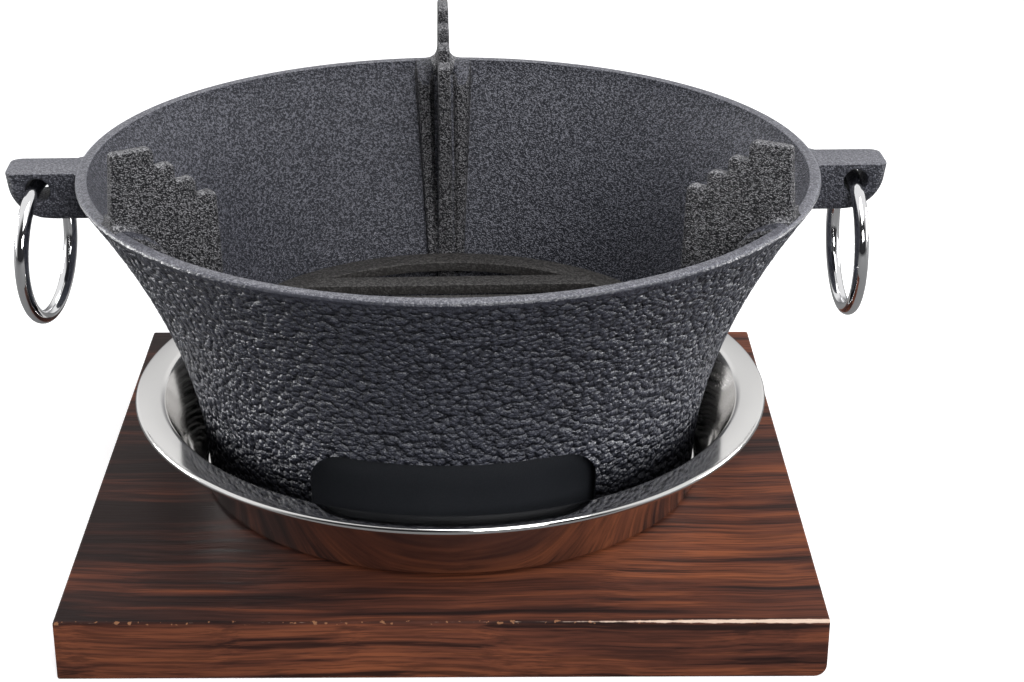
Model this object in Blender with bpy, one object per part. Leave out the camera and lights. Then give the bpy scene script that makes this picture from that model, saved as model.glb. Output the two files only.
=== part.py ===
"""Table-top charcoal grill.

A flared cast-iron fire bowl stands in a polished steel ash tray on a wooden board. Three stepped
pot rests rise from its wall, two ears carry bail rings, a loose grate holds the charcoal, and a
curved air door closes the opening at the foot of the wall.

Lengths are metres and +Z is up. +X runs through the two ears, and the back pot rest lies on +Y.
The origin is on the ground below the bowl's axis.
"""

import math

import bmesh
import bpy
from mathutils import Matrix

# Fits and cutters
GAP = 0.0003                      # between pieces that rest on each other or lie side by side
OVERRUN = 0.004                   # how far a cutter passes the surface that it opens

# Wooden base
BOARD_SIDE_MARGIN = 0.0114        # beside the ash tray's rim
BOARD_FRONT_MARGIN = 0.0025
BOARD_SHIFT_X = -0.0019           # it lies a little off the bowl's axis, and not quite square
BOARD_SHIFT_Y = -0.0035
BOARD_TURN = math.radians(-2.0)
BOARD_THICKNESS = 0.023
BOARD_ARRIS = 0.0008              # broken edges all round
BOARD_WORN_ARRIS = 0.0045         # lower right edge, rounded by wear

# Ash tray: one pressing, with a flat flange and a rolled edge
TRAY_SHEET = 0.0012
TRAY_HEIGHT = 0.0325
TRAY_MARGIN = 0.0016              # floor beside the bowl's foot
TRAY_FLARE = 0.0149               # outward lean of the wall
TRAY_FLANGE = 0.0109
TRAY_CORNER_RADIUS = 0.003
TRAY_SHOULDER_RADIUS = 0.0025
TRAY_BEAD_RADIUS = 0.0014

# Fire bowl: one casting
BOWL_HEIGHT = 0.1222
RIM_RADIUS = 0.140
FLARE_REACH = 0.044               # rim, outside the foot
FLARE_POWER = 1.9                 # how late the wall flares out on its way up
WALL_THICKNESS = 0.005            # level, across the lip
LIP_ROUND = 0.0008
FOOT_ROUND = 0.0045
FLANGE_THICKNESS = 0.004          # turned in at the foot, under the air door
CHANNEL_WIDTH = 0.003             # between the wall and the flange's upstand
UPSTAND_WIDTH = 0.0025
UPSTAND_HEIGHT = 0.0028

# Air opening at the foot of the wall, on the side away from the back pot rest
OPENING_WIDTH = 0.1024
OPENING_SHIFT_X = -0.0011         # its core was set a little to one side
OPENING_SILL = 0.0075             # above the foot
OPENING_TOP = 0.0450              # above the foot
OPENING_TOP_ROUND = 0.0105
OPENING_SILL_ROUND = 0.004

# Air door: a curved plate that stands in the flange's channel
DOOR_THICKNESS = 0.0023
DOOR_LAP = 0.0024                 # how far it passes the top and sides of the opening
DOOR_PLAY = 0.001                 # inside it, to the charcoal grate

# Pot rests: stepped fins, widening downwards so that they draw from the mould
REST_ANGLES = tuple(math.radians(angle) for angle in (90.0, 210.0, 330.0))
REST_RISE = 0.027                 # above the rim
REST_INSET = 0.004                # top of the outer edge, in from the outside of the rim
REST_OUTER_DRAFT = 0.002          # how far the outer edge leans out on its way down
REST_TOP_LENGTH = 0.0157
REST_PLAY = 0.0012                # inner edge, outside the charcoal grate
REST_TOP_THICKNESS = 0.0044
REST_FOOT_THICKNESS = 0.0069
TREAD_COUNT = 3
TREAD_DEPTH = 0.0076
TREAD_DROP = 0.0065
TREAD_SAG = 0.0009                # fall of each tread behind its nose
TREAD_NOSE_RADIUS = 0.0027
TREAD_ROOT_RADIUS = 0.0014
SEAT_DEPTH = 0.0065               # ledge at the foot of each rest, under the charcoal grate
SEAT_THICKNESS = 0.005
SEAT_HAUNCH = 0.012               # slope under the ledge, back to the wall

# Ribs that carry each pot rest on the wall, and the fillets above them
RIB_TOP_WIDTH = 0.0235
RIB_FOOT_WIDTH = 0.015
RIB_TOP_DEPTH = 0.009             # out of the wall
RIB_FOOT_DEPTH = 0.003
RIB_ROUND_SHARE = 0.26            # of the width of rib that shows beside the fin
RIB_GROOVE_SHARE = 0.30           # of the same width, and of the rib's depth
RIB_SHOULDER_SLOPE = 0.45         # fall of the rib's top towards the bowl's axis
REST_FILLET = 0.0046
REST_FILLET_SHARE = 0.88          # of the depth of lip and rib that the fillets run in over

# Ears and their holes
EAR_LENGTH = 0.0258               # rim to tip
EAR_WIDTH = 0.019
EAR_HEIGHT = 0.0178
EAR_STEP = 0.0005                 # top face, below the rim
EAR_TIP_ROUND = 0.004             # upright corners of the tip
EAR_TIP_LEAN = 0.0025             # how far the tip leans in on its way down
EAR_KEEL_ROUND = 0.0115           # lower corner of the tip
EAR_HOLE_DIAMETER = 0.0092
EAR_HOLE_FLARE = 0.0007
EAR_HOLE_INSET = 0.0120           # middle of the hole, in from the tip
EAR_HOLE_DROP = 0.0073            # hole below the rim

# Bail rings
RING_WIRE = 0.005
RING_RADIUS = 0.0267               # to the middle of the wire
RING_TURNS = {"left_ring": math.radians(-11.0), "right_ring": math.radians(0.5)}

# Charcoal grate: a ring with level bars
GRATE_THICKNESS = 0.004           # its top lies level with the top of the air door
GRATE_RING_WIDTH = 0.011
GRATE_BAR_COUNT = 7
GRATE_BAR_SHARE = 0.48            # of the pitch of the bars
GRATE_CORNER_SHARE = 0.14         # of the same pitch
GRATE_EDGE_ROUND = 0.0008

# Facets
BOWL_STEPS = 72
BOWL_LEVELS = 10
TRAY_STEPS = 60
DOOR_STEPS = 18
DOOR_LEVELS = 5
RING_STEPS = 40
WIRE_STEPS = 8
HOLE_STEPS = 20
ROUND_STEPS = 3
SHARP_ANGLE = math.radians(32.0)

# Sizes that follow from these
FOOT_RADIUS = RIM_RADIUS - FLARE_REACH
TRAY_FLOOR_RADIUS = FOOT_RADIUS + TRAY_MARGIN
TRAY_MOUTH_RADIUS = TRAY_FLOOR_RADIUS + TRAY_FLARE
TRAY_RIM_RADIUS = TRAY_MOUTH_RADIUS + TRAY_FLANGE
BOARD_WIDTH = 2 * (TRAY_RIM_RADIUS + BOARD_SIDE_MARGIN)
BOARD_DEPTH = 2 * (TRAY_RIM_RADIUS + BOARD_FRONT_MARGIN)
EAR_REACH = RIM_RADIUS + EAR_LENGTH
EAR_HOLE_RADIUS = EAR_REACH - EAR_HOLE_INSET
REST_OUTER_RADIUS = RIM_RADIUS - REST_INSET
REST_INNER_RADIUS = REST_OUTER_RADIUS - REST_TOP_LENGTH - TREAD_COUNT * TREAD_DEPTH
GRATE_HEIGHT = OPENING_TOP + DOOR_LAP + GAP
SEAT_HEIGHT = GRATE_HEIGHT - GRATE_THICKNESS - GAP

# Heights above the ground, one piece on top of the other
TRAY_LEVEL = BOARD_THICKNESS + GAP
FOOT_LEVEL = TRAY_LEVEL + TRAY_SHEET + GAP
RIM_LEVEL = FOOT_LEVEL + BOWL_HEIGHT
GRATE_LEVEL = FOOT_LEVEL + GRATE_HEIGHT


def clear_scene():
    """Start from an empty scene."""
    for scene_object in list(bpy.data.objects):
        bpy.data.objects.remove(scene_object, do_unlink=True)


def finish(name, colour, roughness, metallic):
    """A plain finish for one piece."""
    material = bpy.data.materials.new(name)
    material.use_nodes = True
    shader = material.node_tree.nodes["Principled BSDF"]
    shader.inputs["Base Color"].default_value = (*colour, 1.0)
    shader.inputs["Roughness"].default_value = roughness
    shader.inputs["Metallic"].default_value = metallic
    return material


def place(name, bm, material=None, location=(0.0, 0.0, 0.0)):
    """Make a named object of a mesh that is drawn about its own origin."""
    bmesh.ops.recalc_face_normals(bm, faces=bm.faces)
    mesh = bpy.data.meshes.new(name)
    bm.to_mesh(mesh)
    bm.free()
    mesh.shade_smooth()
    mesh.set_sharp_from_angle(angle=SHARP_ANGLE)
    if material:
        mesh.materials.append(material)
    piece = bpy.data.objects.new(name, mesh)
    piece.location = location
    bpy.context.collection.objects.link(piece)
    return piece


def combine(body, name, bm, operation):
    """Join a drawn shape to a body, or cut it away, and keep the shape as a wire guide."""
    guide = place(name, bm, location=body.location)
    guide.hide_render = True
    guide.display_type = "WIRE"
    modifier = body.modifiers.new(name, "BOOLEAN")
    modifier.object = guide
    modifier.operation = operation
    modifier.solver = "EXACT"


def corner_arc(before, corner, after, radius, steps):
    """Points that round a corner between two straight edges."""
    to_before = math.atan2(before[1] - corner[1], before[0] - corner[0])
    to_after = math.atan2(after[1] - corner[1], after[0] - corner[0])
    turn = (to_after - to_before + math.pi) % math.tau - math.pi
    half = abs(turn) / 2
    reach = radius / math.sin(half)
    middle = to_before + turn / 2
    centre = (corner[0] + reach * math.cos(middle), corner[1] + reach * math.sin(middle))
    sweep = math.copysign(math.pi - abs(turn), turn)
    start = to_before - math.copysign(math.pi / 2, turn)
    angles = [start - sweep * step / steps for step in range(steps + 1)]
    return [(centre[0] + radius * math.cos(a), centre[1] + radius * math.sin(a)) for a in angles]


def rounded(corners, steps=ROUND_STEPS, closed=True):
    """An outline of (x, y, radius) corners, each rounded by its radius."""
    points = []
    count = len(corners)
    for index, (x, y, radius) in enumerate(corners):
        is_end = not closed and index in (0, count - 1)
        if radius == 0.0 or is_end:
            points.append((x, y))
            continue
        before = corners[index - 1]
        after = corners[(index + 1) % count]
        points.extend(corner_arc(before, (x, y), after, radius, steps))
    return points


def lofted(loops):
    """A solid skinned over loops with the same number of points."""
    bm = bmesh.new()
    rows = [[bm.verts.new(point) for point in loop] for loop in loops]
    bm.faces.new(rows[0])
    bm.faces.new(rows[-1])
    for low, high in zip(rows, rows[1:]):
        for index in range(len(low)):
            after = (index + 1) % len(low)
            bm.faces.new((low[index], low[after], high[after], high[index]))
    return bm


def turned(profile, steps, sweep=math.tau, on_axis=False):
    """A (radius, height) profile spun about +Z, closed unless it starts and ends on the axis."""
    bm = bmesh.new()
    ring = [bm.verts.new((radius, 0.0, height)) for radius, height in profile]
    pairs = list(zip(ring, ring[1:]))
    if not on_axis:
        pairs.append((ring[-1], ring[0]))
    edges = [bm.edges.new(pair) for pair in pairs]
    whole = sweep == math.tau
    bmesh.ops.spin(bm, geom=ring + edges, cent=(0.0, 0.0, 0.0), axis=(0.0, 0.0, 1.0),
                   angle=sweep, steps=steps, use_merge=whole)
    if on_axis:
        bmesh.ops.remove_doubles(bm, verts=bm.verts, dist=GAP / 10)
    if not whole:
        rims = [edge for edge in bm.edges if edge.is_boundary]
        bmesh.ops.holes_fill(bm, edges=rims, sides=0)
    return bm


def spun_to(bm, angle):
    """Turn a shape about the bowl's axis."""
    bmesh.ops.rotate(bm, verts=bm.verts, cent=(0.0, 0.0, 0.0),
                     matrix=Matrix.Rotation(angle, 3, "Z"))
    return bm


def outer_radius(height):
    """Outside of the bowl's wall at a height above its foot."""
    share = height / (BOWL_HEIGHT - LIP_ROUND)
    return FOOT_RADIUS + (RIM_RADIUS - FOOT_RADIUS) * share ** FLARE_POWER


def inner_radius(height):
    """Inside of the bowl's wall at a height above its foot."""
    return outer_radius(height) - WALL_THICKNESS


def grate_radius():
    """Outside of the charcoal grate, clear of the air door that leans on the wall."""
    return inner_radius(SEAT_HEIGHT) - GAP - DOOR_THICKNESS - DOOR_PLAY


def between(low, high, count):
    """Evenly spaced values from one size to another, both included."""
    return [low + (high - low) * index / (count - 1) for index in range(count)]


def wooden_base():
    """The board, with broken edges and one worn lower edge."""
    half = BOARD_WIDTH / 2
    outline = rounded([(-half, 0.0, 0.0), (half, 0.0, BOARD_WORN_ARRIS),
                       (half, BOARD_THICKNESS, 0.0), (-half, BOARD_THICKNESS, 0.0)])
    loops = [[(x, y, z) for x, z in outline] for y in (-BOARD_DEPTH / 2, BOARD_DEPTH / 2)]
    slab = spun_to(lofted(loops), BOARD_TURN)
    bmesh.ops.translate(slab, verts=slab.verts, vec=(BOARD_SHIFT_X, BOARD_SHIFT_Y, 0.0))
    wood = finish("stained_wood", (0.075, 0.032, 0.018), 0.5, 0.0)
    board = place("wooden_base", slab, wood)
    arris = board.modifiers.new("arris", "BEVEL")
    arris.width = BOARD_ARRIS
    arris.segments = 1
    arris.limit_method = "ANGLE"
    arris.angle_limit = math.radians(40.0)


def bead_arc():
    """The rolled edge of the tray's flange, from its top round to its underside."""
    centre = (TRAY_RIM_RADIUS - TRAY_BEAD_RADIUS, TRAY_HEIGHT - TRAY_BEAD_RADIUS)
    angles = [math.radians(angle) for angle in (90.0, 45.0, 0.0, -45.0, -90.0, -135.0)]
    return [(centre[0] + TRAY_BEAD_RADIUS * math.cos(angle),
             centre[1] + TRAY_BEAD_RADIUS * math.sin(angle)) for angle in angles]


def tray_profile():
    """Section of the tray: up its inside, round the rolled edge and back underneath."""
    lean = math.atan2(TRAY_MOUTH_RADIUS - TRAY_FLOOR_RADIUS, TRAY_HEIGHT - TRAY_SHEET)
    shift = TRAY_SHEET * math.tan((math.pi / 2 - lean) / 2)
    inside = rounded([(0.0, TRAY_SHEET, 0.0),
                      (TRAY_FLOOR_RADIUS, TRAY_SHEET, TRAY_CORNER_RADIUS - TRAY_SHEET),
                      (TRAY_MOUTH_RADIUS, TRAY_HEIGHT, TRAY_SHOULDER_RADIUS),
                      (TRAY_RIM_RADIUS - TRAY_BEAD_RADIUS, TRAY_HEIGHT, 0.0)], closed=False)
    under = TRAY_HEIGHT - TRAY_SHEET
    outside = rounded([(TRAY_RIM_RADIUS - 2 * TRAY_BEAD_RADIUS, under, 0.0),
                       (TRAY_MOUTH_RADIUS + shift, under, TRAY_SHOULDER_RADIUS - TRAY_SHEET),
                       (TRAY_FLOOR_RADIUS + shift, 0.0, TRAY_CORNER_RADIUS),
                       (0.0, 0.0, 0.0)], closed=False)
    return inside[:-1] + bead_arc() + outside


def ash_tray():
    """The polished tray that the bowl stands in."""
    steel = finish("polished_steel", (0.62, 0.61, 0.60), 0.08, 1.0)
    place("ash_tray", turned(tray_profile(), TRAY_STEPS, on_axis=True), steel,
          (0.0, 0.0, TRAY_LEVEL))


def bowl_profile():
    """Section of the bowl's wall, its lip and the channel in its foot."""
    outer = [(outer_radius(height), height)
             for height in between(FOOT_ROUND, BOWL_HEIGHT - LIP_ROUND, BOWL_LEVELS)]
    inner = [(inner_radius(height), height)
             for height in between(BOWL_HEIGHT - LIP_ROUND, FLANGE_THICKNESS, BOWL_LEVELS)]
    lip = [(RIM_RADIUS - LIP_ROUND, BOWL_HEIGHT),
           (RIM_RADIUS - WALL_THICKNESS + LIP_ROUND, BOWL_HEIGHT)]
    upstand_outer = inner_radius(FLANGE_THICKNESS) - CHANNEL_WIDTH
    upstand_inner = upstand_outer - UPSTAND_WIDTH
    upstand_top = FLANGE_THICKNESS + UPSTAND_HEIGHT
    channel = [(upstand_outer, FLANGE_THICKNESS), (upstand_outer, upstand_top),
               (upstand_inner, upstand_top), (upstand_inner, 0.0)]
    foot = corner_arc((0.0, 0.0), (FOOT_RADIUS, 0.0), (FOOT_RADIUS, BOWL_HEIGHT),
                      FOOT_ROUND, ROUND_STEPS)
    return foot[:-1] + outer + lip + inner + channel


def opening_reach():
    """From the bowl's axis to the farther side of the air opening."""
    return OPENING_WIDTH / 2 + abs(OPENING_SHIFT_X)


def opening_cutter():
    """The air opening, cut straight from front to back, as its core is drawn."""
    left, right = OPENING_SHIFT_X - OPENING_WIDTH / 2, OPENING_SHIFT_X + OPENING_WIDTH / 2
    flat = rounded([(left, OPENING_SILL, OPENING_SILL_ROUND),
                    (right, OPENING_SILL, OPENING_SILL_ROUND),
                    (right, OPENING_TOP, OPENING_TOP_ROUND),
                    (left, OPENING_TOP, OPENING_TOP_ROUND)], 2 * ROUND_STEPS)
    near = math.sqrt(inner_radius(OPENING_SILL) ** 2 - opening_reach() ** 2) - OVERRUN
    far = outer_radius(OPENING_TOP) + OVERRUN
    return lofted([[(x, -reach, height) for x, height in flat] for reach in (near, far)])


def rest_half_thickness(height):
    """Half the thickness of a pot rest at a height above the foot."""
    top = BOWL_HEIGHT + REST_RISE
    share = (top - height) / (top - SEAT_HEIGHT)
    return (REST_TOP_THICKNESS + (REST_FOOT_THICKNESS - REST_TOP_THICKNESS) * share) / 2


def tread_corners():
    """Corners of the pot rest's steps, from the top down towards the axis."""
    corners = []
    for index in range(TREAD_COUNT + 1):
        radius = REST_INNER_RADIUS + TREAD_DEPTH * (TREAD_COUNT - index)
        height = BOWL_HEIGHT + REST_RISE - TREAD_DROP * index
        corners.append((radius, height, TREAD_NOSE_RADIUS))
        if index < TREAD_COUNT:
            corners.append((radius, height - TREAD_DROP - TREAD_SAG, TREAD_ROOT_RADIUS))
    return corners


def rest_outline():
    """Side view of a pot rest: its steps, its ledge, and a root inside the wall."""
    outer = REST_OUTER_RADIUS
    rim = outer + REST_OUTER_DRAFT
    foot = grate_radius() + REST_PLAY
    ledge = SEAT_HEIGHT
    under = ledge - SEAT_THICKNESS
    haunch = under - SEAT_HAUNCH
    root = [(outer_radius(height) - WALL_THICKNESS / 2, height, 0.0)
            for height in between(haunch, BOWL_HEIGHT - WALL_THICKNESS, BOWL_LEVELS)]
    inner = [(foot, ledge, 0.0), (foot - SEAT_DEPTH, ledge, LIP_ROUND),
             (foot - SEAT_DEPTH, under, LIP_ROUND)]
    top = [(rim, BOWL_HEIGHT - WALL_THICKNESS / 2, 0.0),
           (outer, BOWL_HEIGHT + REST_RISE, LIP_ROUND)]
    return rounded(top + tread_corners() + inner + root)


def pot_rest():
    """One stepped fin, lying along +X."""
    outline = rest_outline()
    return lofted([[(radius, side * rest_half_thickness(height), height)
                    for radius, height in outline] for side in (-1, 1)])


def rib_section(height):
    """Plan of the rib that carries a pot rest, with a groove on each side of the fin."""
    share = (height - SEAT_HEIGHT) / (BOWL_HEIGHT - SEAT_HEIGHT)
    half = (RIB_FOOT_WIDTH + (RIB_TOP_WIDTH - RIB_FOOT_WIDTH) * share) / 2
    depth = RIB_FOOT_DEPTH + (RIB_TOP_DEPTH - RIB_FOOT_DEPTH) * share
    wall = inner_radius(height)
    face = wall - depth
    fin = rest_half_thickness(height)
    corner = (half - fin) * RIB_ROUND_SHARE
    groove = (half - fin) * RIB_GROOVE_SHARE
    hollow = depth * RIB_GROOVE_SHARE
    side = [(wall + WALL_THICKNESS / 4, half), (face + corner, half), (face, half - corner),
            (face, fin + groove), (face + hollow, fin + groove / 2)]
    return side + [(radius, -across) for radius, across in reversed(side)]


def rib():
    """The rib along the inside of the wall, with its top falling towards the axis."""
    top = BOWL_HEIGHT + WALL_THICKNESS
    levels = between(SEAT_HEIGHT - SEAT_THICKNESS, top, BOWL_LEVELS)
    bm = lofted([[(x, y, height) for x, y in rib_section(height)] for height in levels])
    lip = inner_radius(BOWL_HEIGHT) + WALL_THICKNESS / 4
    geometry = list(bm.verts) + list(bm.edges) + list(bm.faces)
    cut = bmesh.ops.bisect_plane(bm, geom=geometry, plane_co=(lip, 0.0, BOWL_HEIGHT),
                                 plane_no=(-RIB_SHOULDER_SLOPE, 0.0, 1.0), clear_outer=True)
    edges = [item for item in cut["geom_cut"] if isinstance(item, bmesh.types.BMEdge)]
    bmesh.ops.holes_fill(bm, edges=edges, sides=0)
    return bm


def fillet_section(radius, fall, root):
    """Section of the hollow fillets on both sides of a pot rest, rooted in the casting."""
    half = rest_half_thickness(BOWL_HEIGHT)
    angles = between(math.pi, 1.5 * math.pi, 2 * ROUND_STEPS)
    arc = [(half + REST_FILLET * (1 + math.cos(angle)), REST_FILLET * (1 + math.sin(angle)))
           for angle in angles]
    side = arc + [(half + REST_FILLET, -root)]
    both = side + [(-across, height) for across, height in reversed(side)]
    return [(radius, across, BOWL_HEIGHT + height - fall) for across, height in both]


def rest_fillet():
    """Fillets between a pot rest, the lip and the rib's falling top."""
    outer = RIM_RADIUS - 2 * LIP_ROUND
    length = (WALL_THICKNESS + RIB_TOP_DEPTH) * REST_FILLET_SHARE
    return lofted([fillet_section(outer, 0.0, LIP_ROUND),
                   fillet_section(outer - length, length * RIB_SHOULDER_SLOPE, REST_FILLET)])


def ear_section(height, inset=0.0):
    """Plan of an ear at a height above its underside, rooted inside the wall."""
    tip = EAR_REACH - inset - EAR_TIP_LEAN * (EAR_HEIGHT - height) / EAR_HEIGHT
    if height < EAR_KEEL_ROUND:
        short = EAR_KEEL_ROUND - height
        tip -= EAR_KEEL_ROUND - math.sqrt(EAR_KEEL_ROUND ** 2 - short ** 2)
    level = BOWL_HEIGHT - EAR_STEP - EAR_HEIGHT + height
    root = outer_radius(level) - WALL_THICKNESS / 2
    half = EAR_WIDTH / 2 - inset
    plan = rounded([(root, -half, 0.0), (tip, -half, EAR_TIP_ROUND),
                    (tip, half, EAR_TIP_ROUND), (root, half, 0.0)])
    return [(x, y, level) for x, y in plan]


def ear():
    """One ear, lying along +X, with the lower corner of its tip rounded away."""
    angles = between(0.0, math.pi / 2, 2 * ROUND_STEPS)
    keel = [ear_section(EAR_KEEL_ROUND * (1 - math.cos(angle))) for angle in angles]
    side = ear_section(EAR_HEIGHT - LIP_ROUND)
    crown = ear_section(EAR_HEIGHT, LIP_ROUND)
    return lofted([*keel, side, crown])


def ear_hole():
    """The hole for a bail ring, with flared mouths."""
    half = EAR_WIDTH / 2
    bore = EAR_HOLE_DIAMETER / 2
    stations = [(-half - OVERRUN, bore + EAR_HOLE_FLARE), (-half, bore + EAR_HOLE_FLARE),
                (-half + EAR_HOLE_FLARE, bore), (half - EAR_HOLE_FLARE, bore),
                (half, bore + EAR_HOLE_FLARE), (half + OVERRUN, bore + EAR_HOLE_FLARE)]
    angles = [math.tau * step / HOLE_STEPS for step in range(HOLE_STEPS)]
    level = BOWL_HEIGHT - EAR_HOLE_DROP
    return lofted([[(EAR_HOLE_RADIUS + radius * math.cos(angle), along,
                     level + radius * math.sin(angle)) for angle in angles]
                   for along, radius in stations])


def fire_bowl():
    """The casting: wall, ears, pot rests, ribs, holes and air opening."""
    iron = finish("cast_iron", (0.030, 0.033, 0.038), 0.55, 0.4)
    bowl = place("fire_bowl", turned(bowl_profile(), BOWL_STEPS), iron, (0.0, 0.0, FOOT_LEVEL))
    for index, angle in enumerate((0.0, math.pi)):
        combine(bowl, f"ear_{index}", spun_to(ear(), angle), "UNION")
    for index, angle in enumerate(REST_ANGLES):
        combine(bowl, f"rib_{index}", spun_to(rib(), angle), "UNION")
        combine(bowl, f"pot_rest_{index}", spun_to(pot_rest(), angle), "UNION")
        combine(bowl, f"rest_fillet_{index}", spun_to(rest_fillet(), angle), "UNION")
    for index, angle in enumerate((0.0, math.pi)):
        combine(bowl, f"ear_hole_{index}", spun_to(ear_hole(), angle), "DIFFERENCE")
    combine(bowl, "air_opening", opening_cutter(), "DIFFERENCE")


def air_door():
    """The curved plate that stands in the foot's channel and leans on the wall."""
    foot = FLANGE_THICKNESS + GAP
    levels = between(foot, OPENING_TOP + DOOR_LAP, DOOR_LEVELS)
    face = [(inner_radius(height) - GAP, height) for height in levels]
    back = [(radius - DOOR_THICKNESS, height) for radius, height in reversed(face)]
    iron = finish("smooth_iron", (0.024, 0.026, 0.030), 0.5, 0.3)
    span = 2 * math.asin((opening_reach() + DOOR_LAP) / inner_radius(foot))
    plate = turned(face + back, DOOR_STEPS, span)
    place("air_door", spun_to(plate, -(math.pi + span) / 2), iron, (0.0, 0.0, FOOT_LEVEL))


def grate_pitch():
    """From one bar of the grate to the next."""
    return 2 * (grate_radius() - GRATE_RING_WIDTH) / (GRATE_BAR_COUNT + 1)


def slot_outline(low, high):
    """One opening of the grate, between two bars or between the last bar and the ring."""
    reach = grate_radius() - GRATE_RING_WIDTH
    corner = grate_pitch() * GRATE_CORNER_SHARE
    start = math.asin(low / reach)
    angles = (start, math.pi - start)
    far = between(*angles, BOWL_LEVELS)[1:-1]
    if high < reach:
        far = (math.asin(high / reach), math.pi - math.asin(high / reach))
    ends = [(reach * math.cos(a), reach * math.sin(a), corner) for a in angles]
    turn = corner if high < reach else 0.0
    bend = [(reach * math.cos(a), reach * math.sin(a), turn) for a in far]
    return rounded([ends[0], *bend, ends[1]])


def grate_slots():
    """The spans, front to back, that the bars leave open in one half of the grate."""
    half_bars = GRATE_BAR_COUNT // 2
    pitch = grate_pitch()
    centres = [pitch * index for index in range(half_bars + 1)]
    edges = [centre + pitch * GRATE_BAR_SHARE / 2 for centre in centres]
    ends = [centre - pitch * GRATE_BAR_SHARE / 2 for centre in centres[1:]] + [grate_radius()]
    return list(zip(edges, ends))


def charcoal_grate():
    """The loose grate: a disc with a slot between each pair of bars."""
    radius, low, edge = grate_radius(), GRATE_THICKNESS, GRATE_EDGE_ROUND
    profile = [(0.0, -low), (radius - edge, -low), (radius, edge - low),
               (radius, -edge), (radius - edge, 0.0), (0.0, 0.0)]
    iron = finish("grate_iron", (0.050, 0.045, 0.042), 0.6, 0.3)
    grate = place("charcoal_grate", turned(profile, TRAY_STEPS, on_axis=True), iron,
                  (0.0, 0.0, GRATE_LEVEL))
    heights = (-GRATE_THICKNESS - OVERRUN, OVERRUN)
    for index, span in enumerate(grate_slots()):
        for side in (-1, 1):
            loops = [[(x, side * y, z) for x, y in slot_outline(*span)] for z in heights]
            name = f"slot_{'front' if side < 0 else 'back'}_{index}"
            combine(grate, name, lofted(loops), "DIFFERENCE")


def ring_lift(turn):
    """Wire's middle above the hole's, where the bent wire rests on the mouths of the hole."""
    grip = EAR_WIDTH / 2 - EAR_HOLE_FLARE
    rise = RING_RADIUS - math.sqrt(RING_RADIUS ** 2 - grip ** 2)
    play = (EAR_HOLE_DIAMETER - RING_WIRE) / 2 - GAP
    aside = grip * math.tan(abs(turn))
    return rise - math.sqrt(max(play ** 2 - aside ** 2, 0.0))


def bail_ring(name, side):
    """A steel ring that hangs through an ear's hole, drawn about the hole's middle."""
    wire = [(RING_RADIUS + RING_WIRE / 2 * math.cos(math.tau * step / WIRE_STEPS),
             RING_WIRE / 2 * math.sin(math.tau * step / WIRE_STEPS)) for step in range(WIRE_STEPS)]
    bm = turned(wire, RING_STEPS)
    turn = RING_TURNS[name]
    upright = Matrix.Rotation(turn, 3, "Z") @ Matrix.Rotation(math.pi / 2, 3, "Y")
    bmesh.ops.rotate(bm, verts=bm.verts, cent=(0.0, 0.0, 0.0), matrix=upright)
    bmesh.ops.translate(bm, verts=bm.verts, vec=(0.0, 0.0, ring_lift(turn) - RING_RADIUS))
    chrome = finish(name + "_chrome", (0.70, 0.70, 0.71), 0.07, 1.0)
    place(name, bm, chrome, (side * EAR_HOLE_RADIUS, 0.0, RIM_LEVEL - EAR_HOLE_DROP))


def main():
    clear_scene()
    wooden_base()
    ash_tray()
    fire_bowl()
    charcoal_grate()
    air_door()
    bail_ring("left_ring", -1)
    bail_ring("right_ring", 1)


main()
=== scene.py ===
# %% [markdown]
# # A table-top charcoal grill
#
# This grill is a flared fire bowl of cast iron that stands in a polished steel ash tray, on a
# board of stained wood. Three stepped fins carry a pot, two ears carry chromed rings, and a loose
# grate inside holds the charcoal.
#
# The solids of the grill come from the CAD model. Each one sits at its real place, so every
# piece made here is drawn in the same metres, with +X through the two ears and +Z up. The first
# cell loads those solids.

# %% Load the CAD model
from math import (asin, atan2, cos, degrees, hypot, pi, radians, sin, sqrt, tan, tau)

import bmesh
import bpy
from mathutils import Matrix, Vector


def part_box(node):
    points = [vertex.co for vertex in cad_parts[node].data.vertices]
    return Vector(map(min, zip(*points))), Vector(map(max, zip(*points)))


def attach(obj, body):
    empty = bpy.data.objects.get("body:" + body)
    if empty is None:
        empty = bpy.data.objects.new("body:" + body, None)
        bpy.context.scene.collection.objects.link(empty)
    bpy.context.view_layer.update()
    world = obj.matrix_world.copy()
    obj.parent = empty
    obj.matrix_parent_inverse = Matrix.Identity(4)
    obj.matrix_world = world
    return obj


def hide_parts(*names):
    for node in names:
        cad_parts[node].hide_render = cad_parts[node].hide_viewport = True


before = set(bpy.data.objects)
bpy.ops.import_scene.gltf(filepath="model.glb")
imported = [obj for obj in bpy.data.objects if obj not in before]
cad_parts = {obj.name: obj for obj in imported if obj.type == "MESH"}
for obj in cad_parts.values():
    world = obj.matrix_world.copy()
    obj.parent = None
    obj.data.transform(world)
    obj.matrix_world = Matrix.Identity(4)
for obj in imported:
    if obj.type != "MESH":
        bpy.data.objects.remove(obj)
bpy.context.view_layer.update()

print("CAD solids:", ", ".join(sorted(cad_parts)))

# %% [markdown]
# ## The camera
#
# The photograph was taken from a little above, straight at the front of the board, with a long
# lens. A long lens flattens the grill: the back edge of the board is nearly as wide as its front.
# The camera stands 76 cm in front of the bowl and 41 cm up, and looks down by about 24 degrees.

# %% Camera
CAMERA_PLACE = Vector((-0.0149, -0.7635, 0.4085))
CAMERA_SWING = radians(2.912)     # towards +X
CAMERA_DIP = radians(23.774)
CAMERA_ROLL = radians(0.286)
LENS_MM = 74.71

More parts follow.
